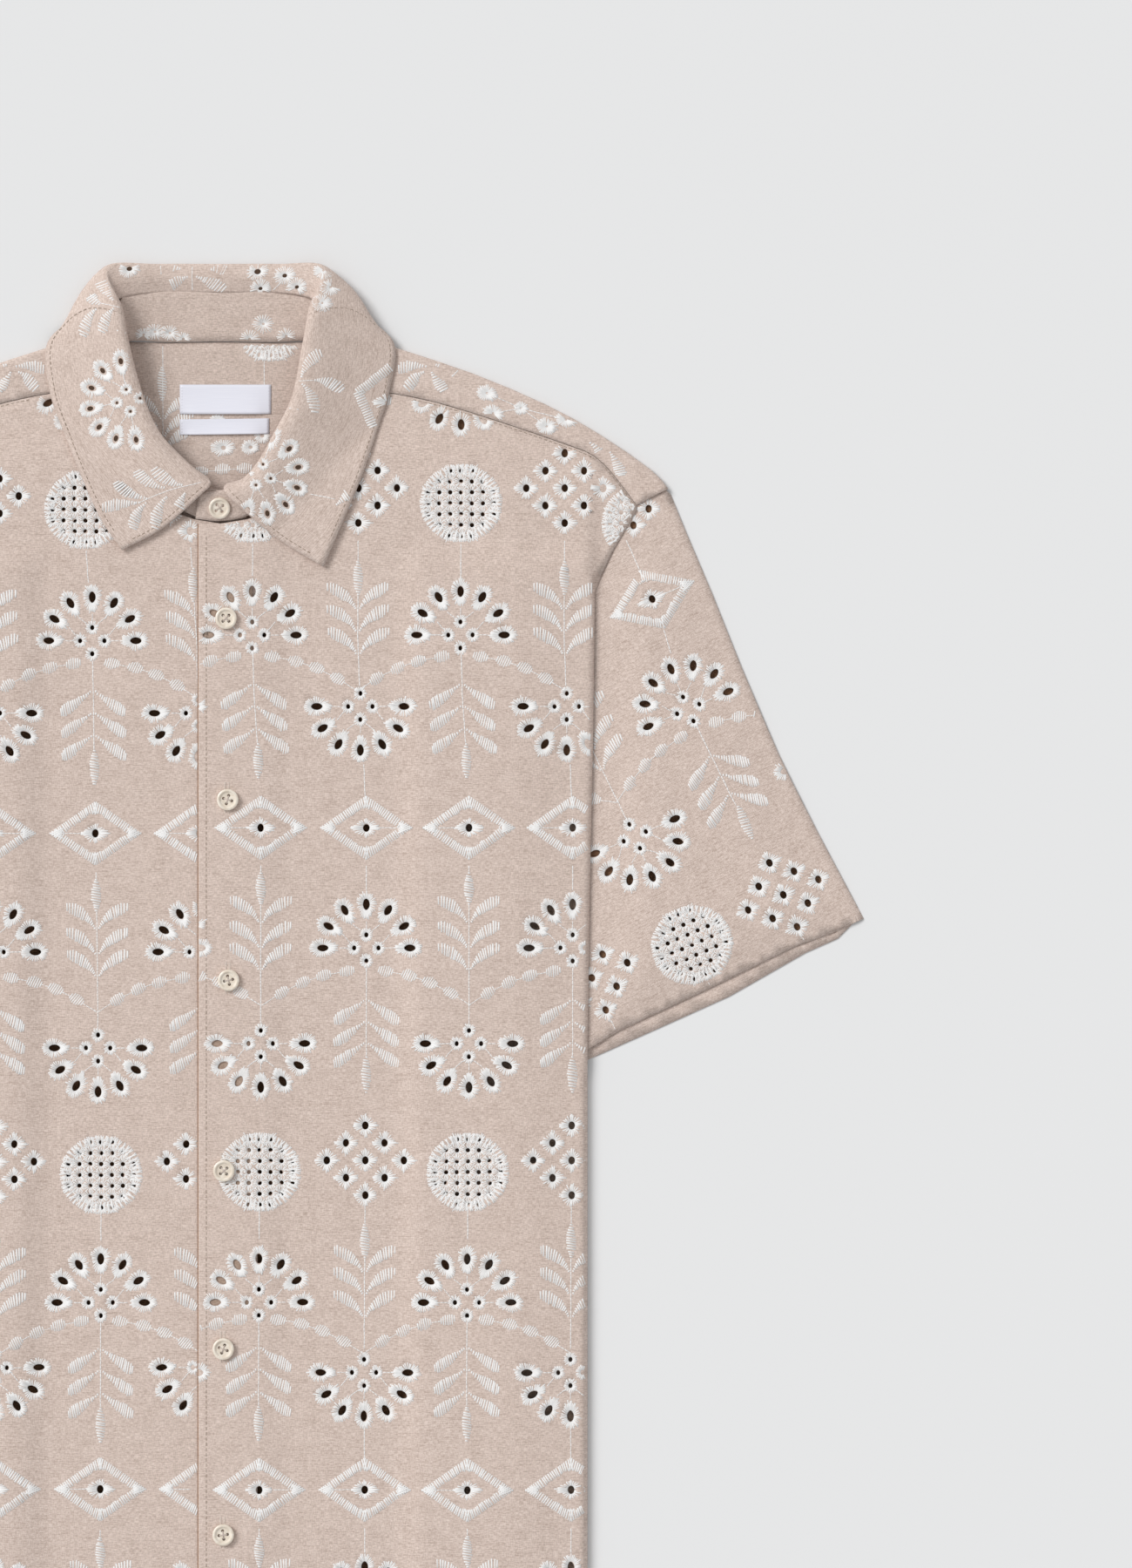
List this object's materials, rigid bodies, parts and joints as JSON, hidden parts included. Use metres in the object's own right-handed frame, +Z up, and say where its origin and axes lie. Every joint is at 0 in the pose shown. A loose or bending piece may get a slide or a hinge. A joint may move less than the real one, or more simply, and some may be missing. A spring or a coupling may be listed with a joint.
{
  "type": "embroidered shirt",
  "caption": "Short-sleeved linen shirt with a point collar and cutwork embroidery, buttoned and laid flat with its sides folded under.",
  "frame": {"origin": "middle of the bounding box's floor: the surface the shirt lies on, half way from collar to hem", "axes": "+X to the right of someone who looks down at the front, +Y from hem to collar, +Z up from the surface"},
  "size_m": [0.7072, 0.7624, 0.019],
  "materials": {
    "linen": "heathered sand linen, plain weave, with off-white thread embroidery",
    "button": "cream, softly polished",
    "satin": "pale satin ribbon, bare"
  },
  "bodies": {
    "root": {"back": "linen", "front_right": "linen", "front_left": "linen", "sleeve_right_upper": "linen", "sleeve_right_under": "linen", "sleeve_left_upper": "linen", "sleeve_left_under": "linen", "folded_side_right": "linen", "folded_side_left": "linen", "collar_leaf": "linen", "collar_stand": "linen", "label_main": "satin", "label_size": "satin", "button_1": "button", "button_2": "button", "button_3": "button", "button_4": "button", "button_5": "button", "button_6": "button", "button_collar": "button"}
  },
  "joints": []
}
